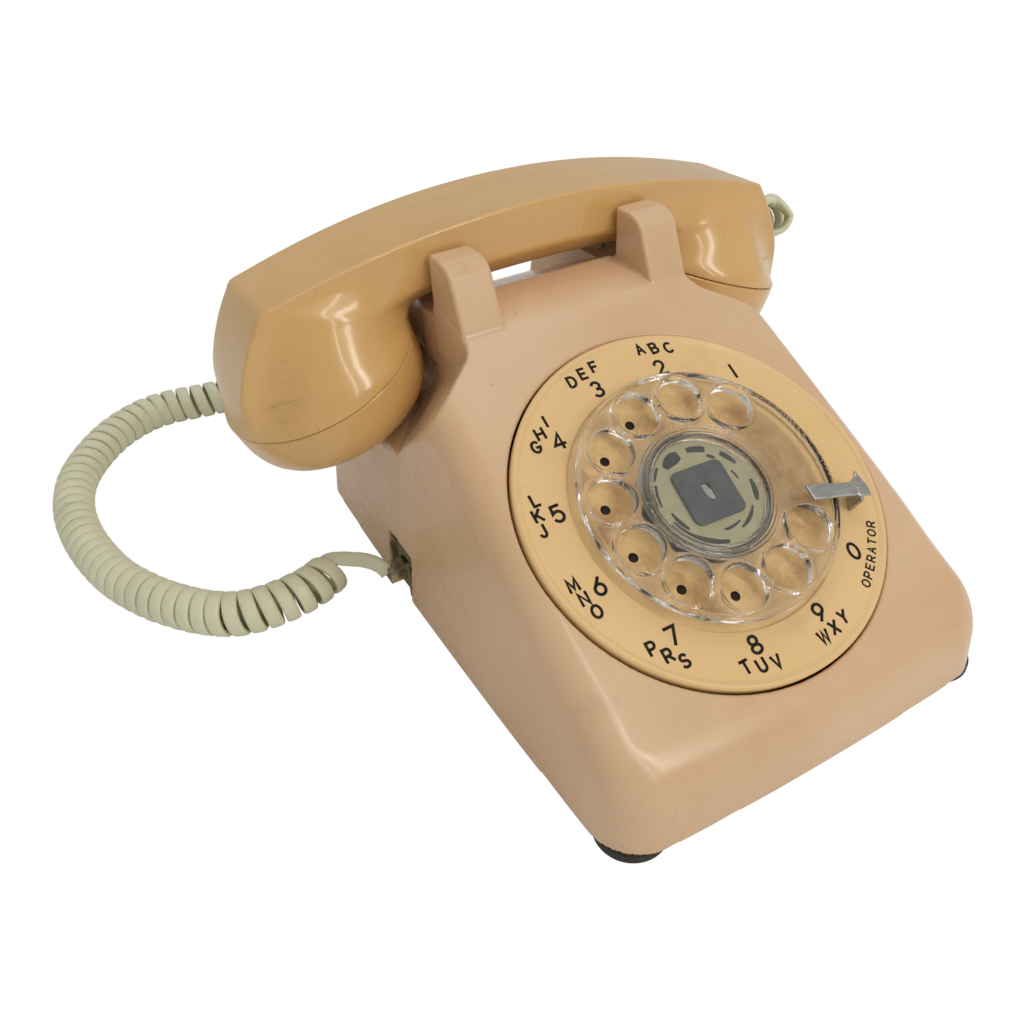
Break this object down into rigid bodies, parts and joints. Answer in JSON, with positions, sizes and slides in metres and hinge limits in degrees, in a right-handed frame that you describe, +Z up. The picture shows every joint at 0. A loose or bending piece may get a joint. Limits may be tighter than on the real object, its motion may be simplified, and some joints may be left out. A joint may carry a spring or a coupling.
{
  "type": "rotary desk telephone",
  "caption": "Rotary dial desk telephone: wedge housing with cradle horns, lift-off handset, clear finger wheel, curly cord and working dial, hook switch and ringer.",
  "frame": {"origin": "on the desk under the middle of the set, cord left out", "axes": "+X to the right as the user sees it and along the handset, +Y away from the user, +Z up"},
  "size_m": [0.2926, 0.3034, 0.1195],
  "materials": {
    "housing_plastic": "glossy aged pinkish beige moulding",
    "handset_plastic": "glossy aged tan moulding",
    "plate_plastic": "satin tan number plate with dark characters",
    "clear_acrylic": "clear acrylic, slightly yellowed",
    "card_paper": "cream card with dark marks",
    "hub_metal": "grey enamel",
    "sheet_steel": "plated sheet steel",
    "stop_metal": "satin bent strip",
    "screw_steel": "bright plated",
    "brass": "turned brass",
    "spring_steel": "blued spring steel",
    "contact_metal": "nickel silver leaf",
    "rubber": "matt black rubber",
    "jack_plastic": "dark olive brown, aged",
    "plunger_plastic": "off-white acetal",
    "network_plastic": "dark phenolic",
    "coil_wire": "varnished winding",
    "gong_brass": "polished bell metal",
    "cord_vinyl": "aged grey-green ivory vinyl",
    "plug_clear": "clear modular plug",
    "capsule_metal": "spun can",
    "dark_plastic": "dark moulded plastic"
  },
  "bodies": {
    "base": {"housing": "housing_plastic", "base_plate": "sheet_steel", "feet": "rubber", "housing_screws": "screw_steel", "number_plate": "plate_plastic", "dial_bracket": "sheet_steel", "dial_frame": "sheet_steel", "dial_back_plate": "sheet_steel", "finger_stop": "stop_metal", "return_spring": "spring_steel", "brake_drum": "brass", "pulse_contacts": "contact_metal", "switch_bracket": "sheet_steel", "hinge_pin": "screw_steel", "lever_spring": "spring_steel", "switch_contacts": "contact_metal", "network_block": "network_plastic", "network_terminals": "brass", "ringer_bracket": "sheet_steel", "ringer_coil": "coil_wire", "gong_left": "gong_brass", "gong_right": "gong_brass", "gong_screws": "screw_steel", "handset_cord_jack": "jack_plastic", "line_jack": "jack_plastic", "base_plug": "plug_clear", "cord_lead": "cord_vinyl", "cord_coil": "cord_vinyl"},
    "dial": {"dial_shaft": "screw_steel", "drive_gear": "brass", "finger_wheel": "clear_acrylic", "number_card": "card_paper", "hub_plate": "hub_metal"},
    "spindle": {"pinion_spindle": "screw_steel", "governor_rotor": "brass", "pulse_cam": "dark_plastic"},
    "lever": {"switch_lever": "sheet_steel"},
    "left_plunger": {"plunger_left": "plunger_plastic"},
    "right_plunger": {"plunger_right": "plunger_plastic"},
    "bell_clapper": {"clapper": "brass"},
    "bell_volume": {"loudness_wheel": "dark_plastic"},
    "handset": {"handset_handle": "handset_plastic", "receiver_cap": "handset_plastic", "transmitter_cap": "handset_plastic", "receiver_capsule": "capsule_metal", "transmitter_capsule": "capsule_metal", "transmitter_cup": "dark_plastic", "handset_jack": "jack_plastic", "handset_plug": "plug_clear", "cord_end_lead": "cord_vinyl"}
  },
  "joints": [
    {"name": "dial_spin", "type": "hinge", "parent": "base", "child": "dial", "pos_m": [0, -0.046, 0.0584], "axis": [0, -0.5, 0.866], "range_deg": [-326, 0], "stiffness_Nm_per_rad": 0.004, "springref_deg": 85.94},
    {"name": "spindle_spin", "type": "hinge", "parent": "base", "child": "spindle", "pos_m": [0.01239, -0.05132, 0.03223], "axis": [0, -0.5, 0.866], "range_deg": [-5, 1640]},
    {"name": "handset_lift", "type": "slide", "parent": "base", "child": "handset", "axis": [0, 0, 1], "range_m": [0, 0.08]},
    {"name": "left_plunger_rise", "type": "slide", "parent": "base", "child": "left_plunger", "axis": [0, 0, 1], "range_m": [0, 0.005]},
    {"name": "right_plunger_rise", "type": "slide", "parent": "base", "child": "right_plunger", "axis": [0, 0, 1], "range_m": [0, 0.005]},
    {"name": "lever_tilt", "type": "hinge", "parent": "base", "child": "lever", "pos_m": [0, 0.024, 0.077], "axis": [1, 0, 0], "range_deg": [0, 9.2]},
    {"name": "clapper_swing", "type": "hinge", "parent": "base", "child": "bell_clapper", "pos_m": [0, 0.076, 0.011], "axis": [0, 0, 1], "range_deg": [-6, 6]},
    {"name": "volume_turn", "type": "hinge", "parent": "base", "child": "bell_volume", "pos_m": [0.03, 0.006, 0.0025], "axis": [0, 0, 1], "range_deg": [0, 120]}
  ],
  "couplings": [
    {"joint": "spindle_spin", "follows": "dial_spin", "ratio": -5},
    {"joint": "left_plunger_rise", "follows": "handset_lift", "ratio": 0.0625},
    {"joint": "right_plunger_rise", "follows": "handset_lift", "ratio": 0.0625},
    {"joint": "lever_tilt", "follows": "handset_lift", "rad_per_m": 1.9635}
  ]
}
